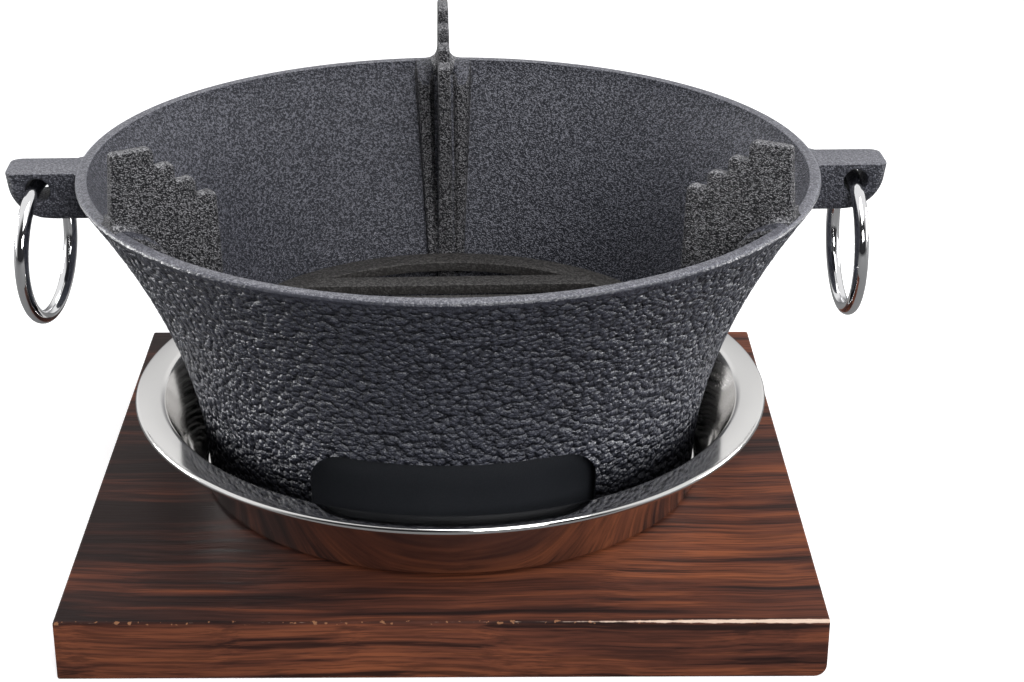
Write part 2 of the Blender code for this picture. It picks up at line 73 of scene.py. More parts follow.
bpy.ops.object.camera_add(location=CAMERA_PLACE)
camera = bpy.context.object
camera.name = "camera"
camera.data.lens = LENS_MM
camera.data.sensor_width = 36.0
camera.data.clip_start = 0.01
look = Matrix.Rotation(-CAMERA_SWING, 4, "Z") @ Matrix.Rotation(pi / 2 - CAMERA_DIP, 4, "X")
camera.matrix_world = (Matrix.Translation(CAMERA_PLACE) @ look
                       @ Matrix.Rotation(CAMERA_ROLL, 4, "Z"))
bpy.context.scene.camera = camera
print("camera lens:", LENS_MM, "mm")

# %% [markdown]
# ## Modelling helpers
#
# Most pieces here start as one outline: the section of a wall, the side view of a fin, the plan
# of an ear. A circle primitive gives a closed ring of points, and each point is then set on the
# outline. From there the ring is spun about the bowl's axis, or filled and extruded from one
# level to the next.
#
# Extruding copies the points, and it copies what is written on them too. So each point of the
# first outline gets its number in an attribute called station, and after each extrusion the new
# points read from it which place of the next outline is theirs.

# %% Outlines, spinning and extruding
def mode(name):
    """Switch the active piece to edit mode or object mode."""
    bpy.ops.object.mode_set(mode=name)


def nothing_selected():
    """Deselect every object."""
    bpy.ops.object.select_all(action="DESELECT")


def only(piece):
    """Select one piece and make it the active one."""
    nothing_selected()
    piece.select_set(True)
    bpy.context.view_layer.objects.active = piece


def named(name):
    """The object that was just added, with its name and its mesh's."""
    piece = bpy.context.object
    piece.name = piece.data.name = name
    return piece


def edit_all():
    """Enter edit mode with the whole mesh selected."""
    mode("EDIT")
    bpy.ops.mesh.select_all(action="SELECT")


def outline_ring(name, points, fill="NOTHING"):
    """A circle primitive with its points set on an outline."""
    nothing_selected()
    bpy.ops.mesh.primitive_circle_add(vertices=len(points), radius=0.1, fill_type=fill)
    ring = named(name)
    for vertex, point in zip(ring.data.vertices, points):
        vertex.co = point
    return ring


def outward(piece):
    """Merge doubled points, then turn every face outwards."""
    edit_all()
    bpy.ops.mesh.remove_doubles(threshold=1e-6)
    bpy.ops.mesh.normals_make_consistent(inside=False)
    mode("OBJECT")
    return piece


def spin_all(steps, angle):
    """Enter edit mode and spin the outline about the bowl's axis."""
    edit_all()
    bpy.ops.mesh.spin(steps=steps, angle=angle, center=(0.0, 0.0, 0.0), axis=(0.0, 0.0, 1.0))


def spun(name, section, steps):
    """Spin a closed section of (radius, height) points once round the bowl's axis."""
    piece = outline_ring(name, [(radius, 0.0, height) for radius, height in section])
    spin_all(steps, tau)
    mode("OBJECT")
    return outward(piece)


def lofted(name, rows):
    """Fill the first outline and extrude it from row to row."""
    piece = outline_ring(name, rows[0], "NGON")
    station = piece.data.attributes.new("station", "INT", "POINT")
    station.data.foreach_set("value", range(len(rows[0])))
    edit_all()
    for row in rows[1:]:
        bpy.ops.mesh.extrude_region_move()
        shape = bmesh.from_edit_mesh(piece.data)
        layer = shape.verts.layers.int["station"]
        for vertex in shape.verts:
            if vertex.select:
                vertex.co = row[vertex[layer]]
        bmesh.update_edit_mesh(piece.data)
    mode("OBJECT")
    piece.data.attributes.remove(piece.data.attributes["station"])
    return outward(piece)


def applied(piece):
    """Apply every modifier of a piece, from first to last."""
    only(piece)
    for modifier in list(piece.modifiers):
        bpy.ops.object.modifier_apply(modifier=modifier.name)


def bevelled(piece, width, segments, turn=30.0):
    """Round every edge where the surface turns by more than this many degrees."""
    edges = piece.modifiers.new("edges", "BEVEL")
    edges.width = width
    edges.segments = segments
    edges.limit_method = "ANGLE"
    edges.angle_limit = radians(turn)
    applied(piece)


def turned_copy(piece, name, angle):
    """A copy with its own mesh, turned about the bowl's axis."""
    only(piece)
    bpy.ops.object.duplicate()
    copy = named(name)
    copy.data.transform(Matrix.Rotation(angle, 4, "Z"))
    return copy


def combined(body, tool, operation):
    """Join a tool to a body or cut it away, then delete the tool."""
    modifier = body.modifiers.new(tool.name, "BOOLEAN")
    modifier.object = tool
    modifier.operation = operation
    modifier.solver = "MANIFOLD"
    modifier.material_mode = "TRANSFER"
    applied(body)
    bpy.data.objects.remove(tool)
    return body


def smoothed(piece, turn):
    """Smooth shading, with edges that turn by more than this many degrees kept sharp."""
    only(piece)
    bpy.ops.object.shade_smooth_by_angle(angle=radians(turn))


def round_corner(before, corner, after, radius, steps):
    """Points that round one corner of a flat outline."""
    corner = Vector(corner)
    a = (Vector(before) - corner).normalized()
    b = (Vector(after) - corner).normalized()
    half = a.angle(b) / 2
    middle = corner + (a + b).normalized() * radius / sin(half)
    start = corner + a * radius / tan(half) - middle
    end = corner + b * radius / tan(half) - middle
    sweep = start.angle_signed(end)
    points = []
    for step in range(steps + 1):
        spoke = start.copy()
        spoke.rotate(Matrix.Rotation(-sweep * step / steps, 2))
        points.append(tuple(middle + spoke))
    return points


def rounded(corners, steps=6):
    """A closed outline of (x, y, radius) corners, each rounded by its radius."""
    points = []
    for index, (x, y, radius) in enumerate(corners):
        if radius == 0.0:
            points.append((x, y))
            continue
        before = corners[index - 1][:2]
        after = corners[(index + 1) % len(corners)][:2]
        points.extend(round_corner(before, (x, y), after, radius, steps))
    return points


def between(low, high, count):
    """Evenly spaced values from low to high, both included."""
    return [low + (high - low) * index / (count - 1) for index in range(count)]


def clipped(value, high=1.0):
    """A value kept between 0 and a highest value."""
    return min(max(value, 0.0), high)


print("helpers ready")

# %% [markdown]
# ## Material helpers
#
# Each finish is a Principled shader with a few nodes in front of it. The patterns read Object
# coordinates, which are metres on the real grill, so a grain of 1 mm is a scale of about 1000.

# %% Node helpers
def fill_inputs(tree, new, inputs):
    """Fill a node's inputs, each with a value or by a link from an output."""
    for key, value in inputs.items():
        if isinstance(value, bpy.types.NodeSocket):
            tree.links.new(value, new.inputs[key])
        else:
            new.inputs[key].default_value = value


def finish(name, colour, roughness, metallic=0.0):
    """A material with a Principled shader, and its tree."""
    material = bpy.data.materials.new(name)
    material.use_nodes = True
    tree = material.node_tree
    shader = tree.nodes["Principled BSDF"]
    fill_inputs(tree, shader, {"Base Color": (*colour, 1.0), "Roughness": roughness,
                               "Metallic": metallic})
    return material, tree, shader


def surface(tree, shader, colour, rough, normal, gloss=0.5):
    """Link the nodes of a finish to its shader."""
    fill_inputs(tree, shader, {"Base Color": colour, "Roughness": rough, "Normal": normal,
                               "Specular IOR Level": gloss})


def node(tree, kind, inputs=None, **settings):
    """Add a node, set its properties, then its inputs."""
    new = tree.nodes.new(kind)
    for key, value in settings.items():
        setattr(new, key, value)
    fill_inputs(tree, new, inputs or {})
    return new


def math_node(tree, operation, first, second=0.0):
    """One step of arithmetic."""
    return node(tree, "ShaderNodeMath", {0: first, 1: second}, operation=operation).outputs[0]


def plus(tree, first, second):
    return math_node(tree, "ADD", first, second)


def minus(tree, first, second):
    return math_node(tree, "SUBTRACT", first, second)


def times(tree, first, second):
    return math_node(tree, "MULTIPLY", first, second)


def vector_math(tree, operation, first, second):
    """One step of arithmetic with two vectors."""
    return node(tree, "ShaderNodeVectorMath", {0: first, 1: second}, operation=operation).outputs[0]


def axes(tree, vector):
    """The X, Y and Z of a vector."""
    return node(tree, "ShaderNodeSeparateXYZ", {0: vector}).outputs


def ramp(tree, factor, low, high):
    """A smooth step from 0 at low to 1 at high."""
    return node(tree, "ShaderNodeMapRange", {"Value": factor, "From Min": low, "From Max": high},
                interpolation_type="SMOOTHSTEP").outputs["Result"]


def noise(tree, place, scale, detail, roughness=0.5):
    """A noise texture, as a value Fac and as a Color."""
    return node(tree, "ShaderNodeTexNoise", {"Vector": place, "Scale": scale, "Detail": detail,
                                             "Roughness": roughness}).outputs


def bent(tree, place, scale, detail, reach):
    """A place that noise shifts about, so that a regular pattern on it bends."""
    colour = noise(tree, place, scale, detail)["Color"]
    shift = vector_math(tree, "SUBTRACT", colour, (0.5, 0.5, 0.5))
    return vector_math(tree, "ADD", place, vector_math(tree, "MULTIPLY", shift, reach))


def bump(tree, height, strength, distance, under=None):
    """The surface's direction, tilted by a height, on top of an earlier bump if there is one."""
    inputs = {"Height": height, "Strength": strength, "Distance": distance}
    if under is not None:
        inputs["Normal"] = under
    return node(tree, "ShaderNodeBump", inputs).outputs[0]


def mixed(tree, factor, first, second):
    """A mix of two colours."""
    first, second = [(*value, 1.0) if isinstance(value, tuple) else value
                     for value in (first, second)]
    inputs = {0: factor, 6: first, 7: second}
    return node(tree, "ShaderNodeMix", inputs, data_type="RGBA").outputs[2]


def mixed_shaders(tree, factor, first, second):
    """A mix of two shaders."""
    return node(tree, "ShaderNodeMixShader", {0: factor, 1: first, 2: second}).outputs[0]


def object_place(tree):
    """Object coordinates, in metres."""
    return tree.nodes.new("ShaderNodeTexCoord").outputs["Object"]


print("node helpers ready")

# %% [markdown]
# ### Sand grain, a shared group
#
# Iron that was cast in sand keeps the print of the sand grains, under any paint or oil. The
# fins, the ears, the inside of the bowl and the grate all have it, each in its own size and
# depth. So it is one node group, with the grain's size as an input. It puts out a height, for a
# Bump node, and a mask of the high grains, which are rubbed a little brighter.

# %% Sand grain group
def sand_grain_group():
    group = bpy.data.node_groups.new("sand_grain", "ShaderNodeTree")
    for side, name, kind in (("INPUT", "Place", "Vector"), ("INPUT", "Grains per metre", "Float"),
                             ("OUTPUT", "Height", "Float"), ("OUTPUT", "High grains", "Float"),
                             ("OUTPUT", "Cloud", "Float")):
        group.interface.new_socket(name, in_out=side, socket_type="NodeSocket" + kind)
    start = group.nodes.new("NodeGroupInput").outputs
    end = group.nodes.new("NodeGroupOutput")
    grains = node(group, "ShaderNodeTexVoronoi",
                  {"Vector": start["Place"], "Scale": start["Grains per metre"]}).outputs
    round_top = minus(group, 1.0, grains["Distance"])
    fine = noise(group, start["Place"], times(group, start["Grains per metre"], 0.55), 2.0, 0.6)
    height = plus(group, times(group, round_top, 0.5), times(group, fine["Fac"], 0.9))
    fill_inputs(group, end, {"Height": height, "High grains": ramp(group, height, 0.56, 0.94),
                             "Cloud": noise(group, start["Place"], 45.0, 3.0)["Fac"]})
    return group


sand_grain = sand_grain_group()
print("group inputs:", [item.name for item in sand_grain.interface.items_tree])


def add_sand_grain(tree, place, grains_per_metre):
    """Place the group in a material."""
    return node(tree, "ShaderNodeGroup", {"Place": place, "Grains per metre": grains_per_metre},
                node_tree=sand_grain).outputs

# %% [markdown]
# ## The fire bowl's wall
#
# The wall is a spun form: narrow at the foot, then flaring out more and more to the rim. Its
# radius grows with a power of the height, which keeps the foot almost upright. The lip on top is
# flat and ground smooth, with small rounded edges.
#
# One closed section, outside, lip, inside and foot, is spun round the axis. The outside gets a
# row of points every 1.2 mm, because its hammered skin is real relief here, not only shading.

# %% Section of the wall
FOOT_LEVEL = 0.0248
BOWL_HEIGHT = 0.1222
RIM_RADIUS = 0.140
FOOT_RADIUS = 0.096
FLARE_POWER = 1.9
WALL = 0.005
LIP_ROUND = 0.0008
LIP_SHOULDER = 0.0015
FOOT_ROUND = 0.0045
FLANGE = 0.004
CHANNEL = 0.003
UPSTAND_WIDTH = 0.0025
UPSTAND_HEIGHT = 0.0028
RIM_LEVEL = FOOT_LEVEL + BOWL_HEIGHT


def outer_radius(level):
    """Outside of the wall at a height above the ground."""
    share = max(level - FOOT_LEVEL, 0.0) / (BOWL_HEIGHT - LIP_ROUND)
    return FOOT_RADIUS + (RIM_RADIUS - FOOT_RADIUS) * share ** FLARE_POWER


def inner_radius(level):
    """Inside of the wall at a height above the ground."""
    return outer_radius(level) - WALL


def wall_section():
    """The wall's outline, up the outside and down the inside."""
    quarter = between(0.0, pi / 2, 6)
    foot = [(FOOT_RADIUS - FOOT_ROUND * (1 - sin(a)),
             FOOT_LEVEL + FOOT_ROUND * (1 - cos(a))) for a in quarter]
    top = RIM_LEVEL - LIP_ROUND
    shoulder = RIM_LEVEL - LIP_SHOULDER
    edge = outer_radius(shoulder)
    outside = [(outer_radius(z), z) for z in between(FOOT_LEVEL + FOOT_ROUND, shoulder, 98)]
    lip_out = [(edge - LIP_SHOULDER * (1 - cos(a)), shoulder + LIP_SHOULDER * sin(a))
               for a in quarter[1:]]
    far = RIM_RADIUS - WALL
    lip_in = [(far + LIP_ROUND * (1 - sin(a)), top + LIP_ROUND * cos(a)) for a in quarter]
    inside = [(inner_radius(z), z) for z in between(top, FOOT_LEVEL + FLANGE, 22)]
    groove = inner_radius(FOOT_LEVEL + FLANGE) - CHANNEL
    crest = FOOT_LEVEL + FLANGE + UPSTAND_HEIGHT
    channel = [(groove, FOOT_LEVEL + FLANGE), (groove, crest), (groove - UPSTAND_WIDTH, crest),
               (groove - UPSTAND_WIDTH, FOOT_LEVEL)]
    return foot[:-1] + outside + lip_out + lip_in + inside[1:] + channel


section = wall_section()
WALL_STEPS = 560
bowl = spun("fire_bowl_casting", section, WALL_STEPS)
print("wall:", len(section), "points in its section,", len(bowl.data.polygons), "faces")

# %% [markdown]
# ### Hammered skin
#
# The outside looks hammered: rounded bumps about 2.5 mm apart, pressed against each other, with
# narrow dark creases between them. A Voronoi texture gives such cells, because its distance grows
# evenly from the middle of each cell, and its square, taken from one, gives a dome. A little noise
# bends the cells out of their regular shape, and a second, finer layer breaks the domes up.
# Close to the lip the hammering fades out, and the wall rolls over into the lip with a shoulder.
#
# The same few nodes work in two places. In Geometry Nodes they push the points of the wall out
# along their normals, and in the material they drive a Bump node for what is finer than the mesh.
# One function adds them to either tree, so both patterns fall in the same place.

# %% Hammered relief
HAMMER_CELLS = 400.0       # per metre
HAMMER_DEPTH = 0.00045
HAMMER_MEAN = 0.75         # the height that stays in place
SKIN_DEPTH = 0.0015        # deeper points aren't on the outside
FOOT_MARGIN, FOOT_FADE = 0.003, 0.005
LIP_MARGIN, LIP_FADE = 0.0012, 0.003


def hammer_marks(tree, place):
    """Height of the hammered skin, from about 0 in the creases to 1 on the domes."""
    place = bent(tree, place, 170.0, 1.0, (0.0016, 0.0016, 0.0016))
    heights = []
    for cells, share in ((HAMMER_CELLS, 1.0), (HAMMER_CELLS * 2.3, 0.28)):
        distance = node(tree, "ShaderNodeTexVoronoi",
                        {"Vector": place, "Scale": cells, "Smoothness": 0.12},
                        feature="SMOOTH_F1").outputs["Distance"]
        dome = minus(tree, 1.0, times(tree, times(tree, distance, distance), 1.5))
        heights.append(times(tree, dome, share))
    return plus(tree, *heights)


def hammered_share(radius, level):
    """1 where the wall is hammered, fading out at the lip, the foot and the inside."""
    if radius < outer_radius(level) - SKIN_DEPTH:
        return 0.0
    return min(clipped((level - FOOT_LEVEL - FOOT_MARGIN) / FOOT_FADE),
               clipped((RIM_LEVEL - LIP_MARGIN - level) / LIP_FADE))


share = bowl.data.attributes.new("hammered", "FLOAT", "POINT")
share.data.foreach_set("value", [hammered_share(hypot(v.co.x, v.co.y), v.co.z)
                                 for v in bowl.data.vertices])

relief = bpy.data.node_groups.new("hammered_relief", "GeometryNodeTree")
for side in ("INPUT", "OUTPUT"):
    relief.interface.new_socket("Geometry", in_out=side, socket_type="NodeSocketGeometry")
start = relief.nodes.new("NodeGroupInput")
end = relief.nodes.new("NodeGroupOutput")
place = relief.nodes.new("GeometryNodeInputPosition").outputs[0]
hammered = node(relief, "GeometryNodeInputNamedAttribute", {"Name": "hammered"}, data_type="FLOAT")
lift = minus(relief, hammer_marks(relief, place), HAMMER_MEAN)
lift = times(relief, times(relief, lift, hammered.outputs[0]), HAMMER_DEPTH)
push = node(relief, "ShaderNodeVectorMath",
            {0: relief.nodes.new("GeometryNodeInputNormal").outputs[0], "Scale": lift},
            operation="SCALE")
moved = node(relief, "GeometryNodeSetPosition", {"Geometry": start.outputs[0],
                                                 "Offset": push.outputs[0]})
relief.links.new(moved.outputs[0], end.inputs[0])
bowl.modifiers.new("hammered_relief", "NODES").node_group = relief
applied(bowl)
radii = [hypot(v.co.x, v.co.y) for v in bowl.data.vertices]
print("widest point of the hammered wall:", round(max(radii) * 1000, 2), "mm")

# %% [markdown]
# ### Iron finishes
#
# The whole casting is the same iron with the same dark coating, but its faces differ. Outside it
# is hammered and satin, with painted highlights, bluish grey, on the domes and on the sides that
# look up, painted shade, near black, in the creases, and painted shade towards the foot.
# Inside it shows the fine print of the sand. The flat lip and the tops of the ears are ground,
# so they are smoother and catch the light. The cut edge of the air opening is smooth and dark.
# The faces of the fins and fillets that look up get a lighter iron: on the treads it is partly wear
# from pots, and everywhere it is partly a painted highlight of light from above. Each of these is a
# material, and each face gets one of them.

# %% Hammered iron
def upper_sides(tree, normal, low, high):
    """1 on the sides of bumps that look up, which are made lighter there as a painted highlight."""
    return ramp(tree, axes(tree, normal)["Z"], low, high)


def hammered_iron():
    material, tree, shader = finish("hammered_iron", (0.03, 0.033, 0.038), 0.45)
    place = object_place(tree)
    marks = hammer_marks(tree, place)
    grain = add_sand_grain(tree, place, 1300.0)
    level = axes(tree, place)["Z"]
    calm = ramp(tree, level, RIM_LEVEL - 0.0050, RIM_LEVEL - 0.0012)      # close to the lip
    skin = bump(tree, marks, minus(tree, 1.0, times(tree, calm, 0.85)), 0.0015)
    skin = bump(tree, grain["Height"], 0.6, 0.0005, skin)
    # Painted light: the sides of the bumps that look up and the domes get a lighter colour, a
    # painted highlight, and the creases a near black one, painted shade.
    upper = upper_sides(tree, skin, -0.62, 0.42)
    dome_light_crease_shade = ramp(tree, marks, 0.45, 1.10)
    tone = plus(tree, times(tree, upper, 0.60), times(tree, dome_light_crease_shade, 0.40))
    colour = mixed(tree, tone, (0.010, 0.0105, 0.0143), (0.057, 0.060, 0.082))
    colour = mixed(tree, times(tree, calm, 0.8), colour, (0.030, 0.031, 0.042))
    colour = mixed(tree, times(tree, grain["High grains"], 0.25), colour, (0.083, 0.088, 0.118))
    # Painted shade: the wall is darkened, and its gloss dimmed, towards the foot, where the tray
    # shades it.
    painted_foot_shade = times(tree, ramp(tree, level, FOOT_LEVEL + 0.046, FOOT_LEVEL + 0.018), 0.94)
    colour = mixed(tree, painted_foot_shade, colour, (0.004, 0.004, 0.005))
    gloss = times(tree, plus(tree, 0.12, times(tree, upper, 0.8)), minus(tree, 1.0, painted_foot_shade))
    rough = plus(tree, 0.28, times(tree, grain["Cloud"], 0.16))
    surface(tree, shader, colour, rough, skin, gloss)
    return material


# %% Sand-cast iron, smooth iron and ground iron
def sand_cast_iron(name, grains, depth, colour, light, roughness):
    material, tree, shader = finish(name, colour, roughness)
    grain = add_sand_grain(tree, object_place(tree), grains)
    skin = bump(tree, grain["Height"], 0.9, depth)
    upper = upper_sides(tree, skin, -0.35, 0.65)
    # The high grains are rubbed a little lighter, and those that look up are lighter still, a
    # painted highlight of light from above.
    rubbed_and_lit_grains = times(tree, grain["High grains"], plus(tree, 0.25, times(tree, upper, 0.75)))
    gloss = plus(tree, 0.2, times(tree, rubbed_and_lit_grains, 0.5))
    rough = plus(tree, roughness - 0.08, times(tree, grain["Cloud"], 0.16))
    surface(tree, shader, mixed(tree, rubbed_and_lit_grains, colour, light), rough, skin, gloss)
    return material


def smooth_iron():
    material, tree, shader = finish("smooth_iron", (0.030, 0.033, 0.040), 0.48)
    grain = add_sand_grain(tree, object_place(tree), 2600.0)
    colour = mixed(tree, times(tree, grain["High grains"], 0.25),
                   (0.021, 0.023, 0.028), (0.045, 0.048, 0.055))
    rough = plus(tree, 0.40, times(tree, grain["Cloud"], 0.16))
    surface(tree, shader, colour, rough, bump(tree, grain["Height"], 0.3, 0.0002))
    return material


CASTING_FINISHES = (
    hammered_iron(),
    sand_cast_iron("sand_cast_iron", 1500.0, 0.0007, (0.023, 0.024, 0.031),
                   (0.152, 0.154, 0.186), 0.44),
    sand_cast_iron("coarse_cast_iron", 1700.0, 0.0013, (0.010, 0.010, 0.012),
                   (0.26, 0.256, 0.27), 0.36),
    sand_cast_iron("ground_iron", 1700.0, 0.00018, (0.108, 0.108, 0.127), (0.25, 0.25, 0.28), 0.38),
    smooth_iron(),
    sand_cast_iron("worn_and_lit_cast_iron", 1600.0, 0.0009, (0.040, 0.040, 0.045),
                   (0.38, 0.375, 0.39), 0.34))
OUTSIDE, INSIDE, FINS, GROUND, SMOOTH, WORN_AND_LIT = range(len(CASTING_FINISHES))
print("iron finishes:", ", ".join(material.name for material in CASTING_FINISHES))


def give_finishes(part, chosen):
    """Give a part of the casting all its finishes, and each face the one chosen for it."""
    part.data.materials.clear()
    for material in CASTING_FINISHES:
        part.data.materials.append(material)
    for face in part.data.polygons:
        face.material_index = chosen(face)


LIP_BAND = 0.0007          # faces this close to the rim's top are ground
FACE_DEPTH = 0.002         # faces that lie deeper are on the inside


def wall_finish(face):
    """Which finish a face of the wall has."""
    radius = hypot(face.center.x, face.center.y)
    if face.center.z > RIM_LEVEL - LIP_BAND and face.normal.z > 0.6:
        return GROUND
    return OUTSIDE if radius > outer_radius(face.center.z) - FACE_DEPTH else INSIDE


give_finishes(bowl, wall_finish)

# %% [markdown]
# ## Ears
#
# Each ear is a blunt arm, just below the lip, that the ring hangs through. Its top is ground, the
# lower corner of its tip is rounded like a boat's keel, and small fillets join it to the wall. Its
# plan is extruded upwards, level by level.

# %% Ears
EAR_REACH = 0.1658
EAR_WIDTH = 0.019
EAR_HEIGHT = 0.0178
EAR_STEP = 0.0005
EAR_TIP_ROUND = 0.004
EAR_TIP_LEAN = 0.0025
EAR_KEEL_ROUND = 0.0115
EAR_ROOT_ROUND = 0.0012
EAR_HOLE_PLACE = 0.1538
EAR_HOLE_LEVEL = RIM_LEVEL - 0.0073
EAR_EDGE = 0.0006
EAR_SINK = 0.0006       # how deep the fillet's foot lies in the hammered skin


def ear_plan(height, inset=0.0):
    """Plan of the ear at a height above its underside."""
    tip = EAR_REACH - inset - EAR_TIP_LEAN * (EAR_HEIGHT - height) / EAR_HEIGHT
    if height < EAR_KEEL_ROUND:
        short = EAR_KEEL_ROUND - height
        tip -= EAR_KEEL_ROUND - sqrt(EAR_KEEL_ROUND ** 2 - short ** 2)
    level = RIM_LEVEL - EAR_STEP - EAR_HEIGHT + height
    half = EAR_WIDTH / 2 - inset
    wall = outer_radius(level)
    skin = wall - EAR_SINK
    flare = half + EAR_ROOT_ROUND
    plan = [(wall - WALL * 0.6, -flare - 0.001, 0.0), (skin, -flare, 0.0)]
    for angle in between(0.0, pi / 2, 7)[1:-1]:
        plan.append((skin + EAR_ROOT_ROUND * sin(angle),
                     -half - EAR_ROOT_ROUND * (1 - sin(angle)) * cos(angle), 0.0))
    plan += [(wall + EAR_ROOT_ROUND, -half, 0.0), (tip, -half, EAR_TIP_ROUND)]
    plan += [(x, -y, r) for x, y, r in reversed(plan)]
    return [(x, y, level) for x, y in rounded(plan)]


keel = [EAR_KEEL_ROUND * (1 - cos(angle)) for angle in between(0.0, pi / 2, 11)]
rows = [ear_plan(height, EAR_EDGE * (1 - min(height / EAR_EDGE, 1.0))) for height in keel]
rows.append(ear_plan(EAR_HEIGHT - EAR_EDGE))
rows.append(ear_plan(EAR_HEIGHT - EAR_EDGE * 0.3, EAR_EDGE * 0.3))
rows.append(ear_plan(EAR_HEIGHT, EAR_EDGE))
right_ear = lofted("right_ear", rows)
give_finishes(right_ear, lambda face: GROUND if face.normal.z > 0.8 else INSIDE)
left_ear = turned_copy(right_ear, "left_ear", pi)
print("ear points:", len(rows[0]), "in each of", len(rows), "levels")

# %% [markdown]
# ## Pot rests
#
# A pot stands on three fins. Each one has a flat top and three treads, so that pots of different
# widths find a seat. The noses of the treads are rounded, and the fin gets thicker downwards so
# that it draws out of the mould. At its foot a small ledge carries the charcoal grate.
#
# The side view is drawn as an outline, filled and extruded once, and the two faces are then
# leaned against each other. A Bevel modifier rounds the edges.

# %% Fins
REST_RISE = 0.027
REST_OUTER = 0.136
REST_OUTER_FOOT = 0.138
TREADS = 3
TREAD_DEPTH = 0.0076
TREAD_DROP = 0.0065
TREAD_SAG = 0.0009
NOSE_ROUND = 0.0027
ROOT_ROUND = 0.0014
REST_INNER = 0.0975
GRATE_LEVEL = FOOT_LEVEL + 0.0477
SEAT_LEVEL = GRATE_LEVEL - 0.0043
GRATE_RADIUS = inner_radius(SEAT_LEVEL) - 0.0036      # clear of the air door
SEAT_DEPTH = 0.0065
SEAT_THICKNESS = 0.005
SEAT_HAUNCH = 0.012
SEAT_ROUND = 0.0015
TOP_ROUND = 0.0016
FIN_TOP_HALF, FIN_SPREAD = 0.0022, 0.00125


def fin_half_thickness(level):
    """Half the fin's thickness, which grows from its top to its ledge."""
    top = RIM_LEVEL + REST_RISE
    return FIN_TOP_HALF + FIN_SPREAD * (top - level) / (top - SEAT_LEVEL)


def fin_outline():
    """Side view of a fin, from its outer top corner inwards and down."""
    corners = [(REST_OUTER_FOOT, RIM_LEVEL - WALL / 2, 0.0),
               (REST_OUTER, RIM_LEVEL + REST_RISE, TOP_ROUND)]
    for index in range(TREADS + 1):
        radius = REST_INNER + TREAD_DEPTH * (TREADS - index)
        level = RIM_LEVEL + REST_RISE - TREAD_DROP * index
        corners.append((radius, level, NOSE_ROUND))
        if index < TREADS:
            corners.append((radius, level - TREAD_DROP - TREAD_SAG, ROOT_ROUND))
    foot = GRATE_RADIUS + 0.0012
    under = SEAT_LEVEL - SEAT_THICKNESS
    corners += [(foot, SEAT_LEVEL, 0.0), (foot - SEAT_DEPTH, SEAT_LEVEL, SEAT_ROUND),
                (foot - SEAT_DEPTH, under, SEAT_ROUND)]
    corners += [(outer_radius(level) - WALL / 2, level, 0.0)
                for level in between(under - SEAT_HAUNCH, RIM_LEVEL - WALL, 12)]
    return rounded(corners)


fin_points = fin_outline()
fin = lofted("fin", [[(x, side * fin_half_thickness(z), z) for x, z in fin_points]
                     for side in (-1, 1)])
bevelled(fin, 0.0012, 3, 60.0)
# Fin faces above the lip that look up get the lighter iron: partly wear from pots, partly a painted
# highlight of light from above.
give_finishes(fin, lambda face: WORN_AND_LIT if face.normal.z > 0.45 and face.center.z > RIM_LEVEL + 0.001
              else FINS)
print("fin:", len(fin_points), "points in its side view,", len(fin.data.polygons), "faces")

# %% [markdown]
# ### Ribs and fillets
#
# Inside the wall, each fin stands in a thick upright rib with a narrow groove on either side. The
# rib's top is a quarter of an ellipse, level where it leaves the lip and upright where it meets
# the rib's face. Hollow fillets lead from the lip up to the fin's faces and fall with the rib. The
# rib is extruded upwards level by level, and gets less deep as it nears the lip.

# %% Ribs
RIB_FOOT_WIDTH, RIB_TOP_WIDTH = 0.015, 0.0235
RIB_FOOT_DEPTH, RIB_TOP_DEPTH = 0.003, 0.009
RIB_CAP = 0.009
RIB_ROOT = 0.0012
GROOVE_DEPTH = 0.34      # as a share of the rib's depth
FILLET = 0.0046
FILLET_REACH = 0.86      # as a share of the lip and the rib together


def rib_plan(level):
    """Plan of the rib, with its grooves beside the fin."""
    share = (level - SEAT_LEVEL) / (RIM_LEVEL - SEAT_LEVEL)
    half = (RIB_FOOT_WIDTH + (RIB_TOP_WIDTH - RIB_FOOT_WIDTH) * share) / 2
    depth = RIB_FOOT_DEPTH + (RIB_TOP_DEPTH - RIB_FOOT_DEPTH) * share
    depth *= sqrt(1.0 - clipped((level - RIM_LEVEL + RIB_CAP) / RIB_CAP, 0.998) ** 2)
    wall = inner_radius(level)
    face = wall - depth
    thick = fin_half_thickness(level)
    corner = groove = (half - thick) * 0.30
    bed = face + GROOVE_DEPTH * depth
    root = 0.25 * depth
    plan = [(wall + WALL / 4, half + root), (wall + 0.0002, half + root),
            (wall - root * 0.4, half + root * 0.3), (face + corner, half)]
    for angle in between(0.0, pi / 2, 6)[1:-1]:
        plan.append((face + corner * (1 - sin(angle)), half - corner * (1 - cos(angle))))
    plan += [(face, half - corner), (face, thick + groove * 1.3),
             (face + 0.12 * depth, thick + groove), (bed, thick + groove * 0.55),
             (bed, thick + groove * 0.2)]
    plan += [(x, -y) for x, y in reversed(plan)]
    return [(x, y, level) for x, y in plan]


levels = between(SEAT_LEVEL - SEAT_THICKNESS, RIM_LEVEL - RIB_CAP, 18)
levels += [RIM_LEVEL - RIB_CAP * (1.0 - sin(angle)) for angle in between(0.15, 1.48, 10)]
rib = lofted("rib", [rib_plan(level) for level in levels])
give_finishes(rib, lambda face: FINS if abs(face.center.y) > RIB_FOOT_WIDTH / 4
              and face.normal.z < 0.6 else INSIDE)
print("rib faces:", len(rib.data.polygons))

